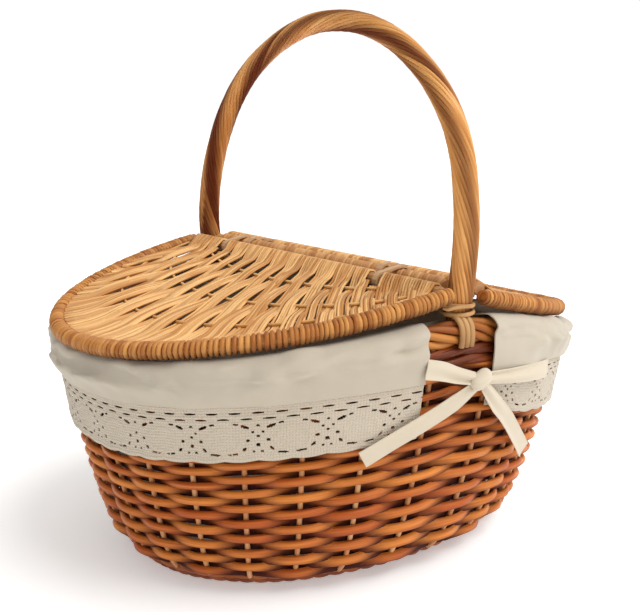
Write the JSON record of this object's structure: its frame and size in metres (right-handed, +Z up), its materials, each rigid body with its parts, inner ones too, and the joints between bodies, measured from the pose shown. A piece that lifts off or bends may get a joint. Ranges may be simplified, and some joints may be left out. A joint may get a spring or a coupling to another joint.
{
  "type": "lidded wicker picnic basket",
  "caption": "Oval woven willow picnic basket with an arched handle, hinged half lids either side of it, and a cloth lining with lace-edged skirts and ribbon ties.",
  "frame": {"origin": "on the floor, at the middle of the basket's bounding box", "axes": "+Z up, X along the basket's long axis from the left lid (-X) to the right lid (+X), Y across it in the handle's plane"},
  "size_m": [0.4052, 0.3732, 0.392],
  "materials": {
    "body_willow": "semi-gloss varnished willow rods",
    "border_willow": "semi-gloss varnished willow rods",
    "lid_willow": "satin willow rods",
    "handle_willow": "satin willow rods",
    "pale_cane": "satin split cane",
    "lining_cotton": "matt plain-weave cotton",
    "cotton_lace": "matt crocheted cotton lace",
    "ribbon_cotton": "matt cotton ribbon"
  },
  "bodies": {
    "basket": {"base_weave": "body_willow", "foot_wale": "body_willow", "wall_weave": "body_willow", "top_wale": "body_willow", "top_border": "border_willow", "stake_frame": "body_willow", "handle_bow": "handle_willow", "crossbar": "handle_willow", "near_handle_lashing": "pale_cane", "near_border_strap": "pale_cane", "near_knot": "ribbon_cotton", "near_left_tie": "ribbon_cotton", "near_left_tail": "ribbon_cotton", "left_hinge_loop_near": "pale_cane", "near_right_tie": "ribbon_cotton", "near_right_tail": "ribbon_cotton", "right_hinge_loop_near": "pale_cane", "far_handle_lashing": "pale_cane", "far_border_strap": "pale_cane", "far_knot": "ribbon_cotton", "far_left_tie": "ribbon_cotton", "far_left_tail": "ribbon_cotton", "left_hinge_loop_far": "pale_cane", "far_right_tie": "ribbon_cotton", "far_right_tail": "ribbon_cotton", "right_hinge_loop_far": "pale_cane", "left_skirt": "lining_cotton", "left_lace": "cotton_lace", "right_skirt": "lining_cotton", "right_lace": "cotton_lace", "liner_bag": "lining_cotton"},
    "left_lid": {"left_lid_frame": "lid_willow", "left_lid_hinge_rod": "lid_willow", "left_lid_weave": "lid_willow", "left_lid_rib_1": "lid_willow", "left_lid_rib_2": "lid_willow", "left_lid_rib_3": "lid_willow"},
    "right_lid": {"right_lid_frame": "lid_willow", "right_lid_hinge_rod": "lid_willow", "right_lid_weave": "lid_willow", "right_lid_rib_1": "lid_willow", "right_lid_rib_2": "lid_willow", "right_lid_rib_3": "lid_willow"}
  },
  "joints": [
    {"name": "left_lid_hinge", "type": "hinge", "parent": "basket", "child": "left_lid", "pos_m": [-0.0165, 0, 0.207], "axis": [0, 1, 0], "range_deg": [0, 100]},
    {"name": "right_lid_hinge", "type": "hinge", "parent": "basket", "child": "right_lid", "pos_m": [0.0165, 0, 0.207], "axis": [0, -1, 0], "range_deg": [0, 103]}
  ]
}
